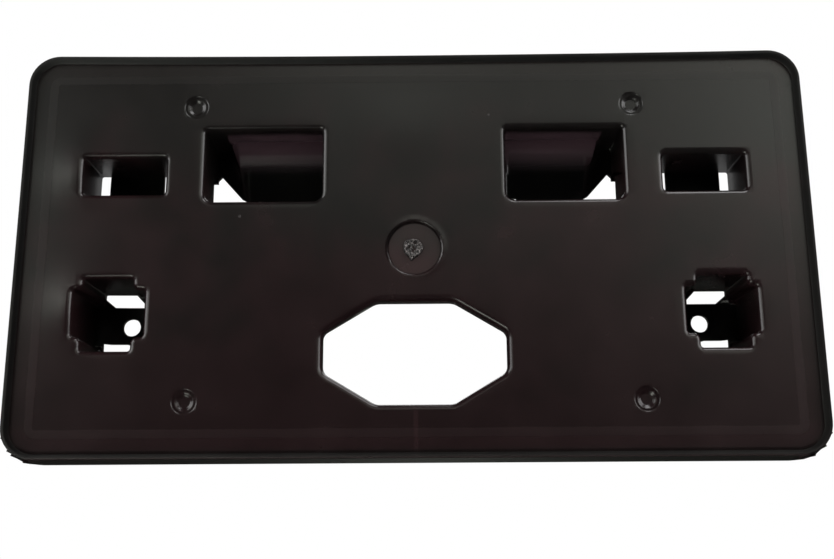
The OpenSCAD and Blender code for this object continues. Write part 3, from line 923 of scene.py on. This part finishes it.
wire(tree, height, bump.inputs["Height"])
skin = add(tree, "ShaderNodeBsdfPrincipled")
wire(tree, colour, skin.inputs["Base Color"])
wire(tree, rough, skin.inputs["Roughness"])
wire(tree, bump.outputs["Normal"], skin.inputs["Normal"])
put_out(tree, skin.outputs[0])
shell.materials.append(satin)
print("satin plastic:", len(tree.nodes), "nodes")

# %% [markdown]
# ## The torn gate
# Plastic entered the mould at the middle of the holder, and the runner was twisted off
# there. The stub that stays is pale and fibrous, with pits where strands were pulled out
# and a tail on its lower side. It is a round plateau: each ring is the outline times a
# share, and its height is a sum of sine waves in random directions, so that the long waves
# are the high ones.

# %% Torn top
TOP_ROWS, AROUND = 72, 169
TAIL, TAIL_LENGTH, TAIL_WIDTH = math.radians(-98), 1.2, 0.15
PITS = ((0.7, 1.9), (0.25, 0.2), (-0.1, -1.3), (-1.4, 0.3), (0.75, -0.6))
PIT_DEPTH, PIT_R = 1.2, 0.5
CALM_X, CALM_Z = 1.7, -1.3

# Below the top, the shares of the outline and the depths of the rings down to the pole.
SIDE_SHARES, SIDE_DEPTHS = (1.03, 1.04, 1.0, 0.0), (0.85, 1.15, 1.3, 1.3)


def torn_height(x, z, waves=60):
    """Sum of sine waves, each with its own length, direction and phase, 0.05 lengths high."""
    chance = np.random.default_rng(11)
    total = np.zeros_like(x)
    lengths = chance.uniform(0.45, 2.2, waves)
    directions = chance.uniform(0, math.pi, waves)
    phases = chance.uniform(0, 2 * math.pi, waves)
    for length, way, phase in zip(lengths, directions, phases):
        along = x * math.cos(way) + z * math.sin(way)
        total += 0.05 * length * np.sin(2 * math.pi / length * along + phase)
    return total


def stub_outline(around):
    """A circle with three and five soft corners, and a bell shaped tail at one angle."""
    off = np.angle(np.exp(1j * (around - TAIL)))
    corners = 0.14 * np.sin(3 * around + 0.6) + 0.09 * np.sin(5 * around + 2.1)
    return STUB_R + corners + TAIL_LENGTH * np.exp(-(off / TAIL_WIDTH) ** 2)


def gate_stub_points():
    """Rings of the outline times a share on top, then down the side to a pole behind."""
    around = np.linspace(0, 2 * math.pi, AROUND)
    edge = stub_outline(around)
    share = np.concatenate([np.linspace(0, 1, TOP_ROWS), SIDE_SHARES])[:, None]
    ring_x, ring_z = share * edge * np.cos(around), share * edge * np.sin(around)
    top_x, top_z, top_share = ring_x[:TOP_ROWS], ring_z[:TOP_ROWS], share[:TOP_ROWS]
    calm = 1 - 0.65 * np.exp(-((top_x - CALM_X) ** 2 + (top_z - CALM_Z) ** 2) / 2.2)
    crest = np.exp(-((top_share - 0.85) / 0.09) ** 2)
    fall = smooth_step(top_share, 0.92, 1.0)
    depth = 0.15 + 0.55 * calm * torn_height(top_x, top_z) - 0.22 * crest + 0.35 * fall
    for pit_x, pit_z in PITS:
        squares = (top_x - pit_x) ** 2 + (top_z - pit_z) ** 2
        depth += PIT_DEPTH * np.exp(-(squares / PIT_R ** 2) ** 2)
    side = np.array(SIDE_DEPTHS)[:, None] + 0 * around
    depth = np.concatenate([np.clip(depth, -0.35, 1.0), side])
    return np.stack([ring_x + STUB[0], depth, ring_z + STUB[1]], -1).reshape(-1, 3) * MM


stub_rows = TOP_ROWS + len(SIDE_SHARES)
stub = surface("gate_stub", gate_stub_points(), stub_rows, AROUND, closed=True)
print("gate stub:", len(stub.data.vertices), "points")

# %% [markdown]
# ## Torn plastic
# Where black plastic tears, its strands stretch and turn pale. The same grain and dust
# groups are used again with other values, and the pale share grows with the grain. Down in
# the pits it is painted black, as shade.

# %% Torn finish
TORN_DARK = (0.010, 0.008, 0.008, 1)
TORN_PALE = (0.30, 0.27, 0.26, 1)
PALE_FROM, PIT_SHADE_Y = (0.46, 0.70), (0.55, 0.25)
STRAND_HEIGHT = 0.2 * MM
torn, tree = blank_material("torn_plastic")
place = place_in_mm(tree)
strands = use_group(tree, grain_group, place, Fineness=1.7).outputs["Height"]
dust = use_group(tree, dust_group, place, Closeness=1.1, Share=0.5)
# Painted shade down in the pits: no pale strands or specks there.
outside_pit_shade = ramp(tree, axes_of(tree, place)[1], PIT_SHADE_Y)
pale_share = product(tree, ramp(tree, strands, PALE_FROM), outside_pit_shade)
specks = product(tree, dust.outputs["Specks"], outside_pit_shade)
pale_share = math_node(tree, "MAXIMUM", pale_share, specks)
bump = add(tree, "ShaderNodeBump", Strength=0.7, Distance=STRAND_HEIGHT)
wire(tree, strands, bump.inputs["Height"])
skin = add(tree, "ShaderNodeBsdfPrincipled")
wire(tree, mix(tree, pale_share, TORN_DARK, TORN_PALE), skin.inputs["Base Color"])
wire(tree, linear(tree, pale_share, 0.2, 0.38), skin.inputs["Roughness"])
wire(tree, bump.outputs["Normal"], skin.inputs["Normal"])
put_out(tree, skin.outputs[0])
stub.data.materials.append(torn)
print("torn plastic:", len(tree.nodes), "nodes")

# %% [markdown]
# ## Handing over
# Both pieces belong to the one body of the holder. The moulding takes the place of the CAD
# node, and the torn gate is added to it. The Standard view shows the colours as they are.

# %% Hand the pieces over
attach(stub, "root")
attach(moulding, "root")
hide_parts("plate_holder")

bpy.context.scene.view_settings.view_transform = "Standard"
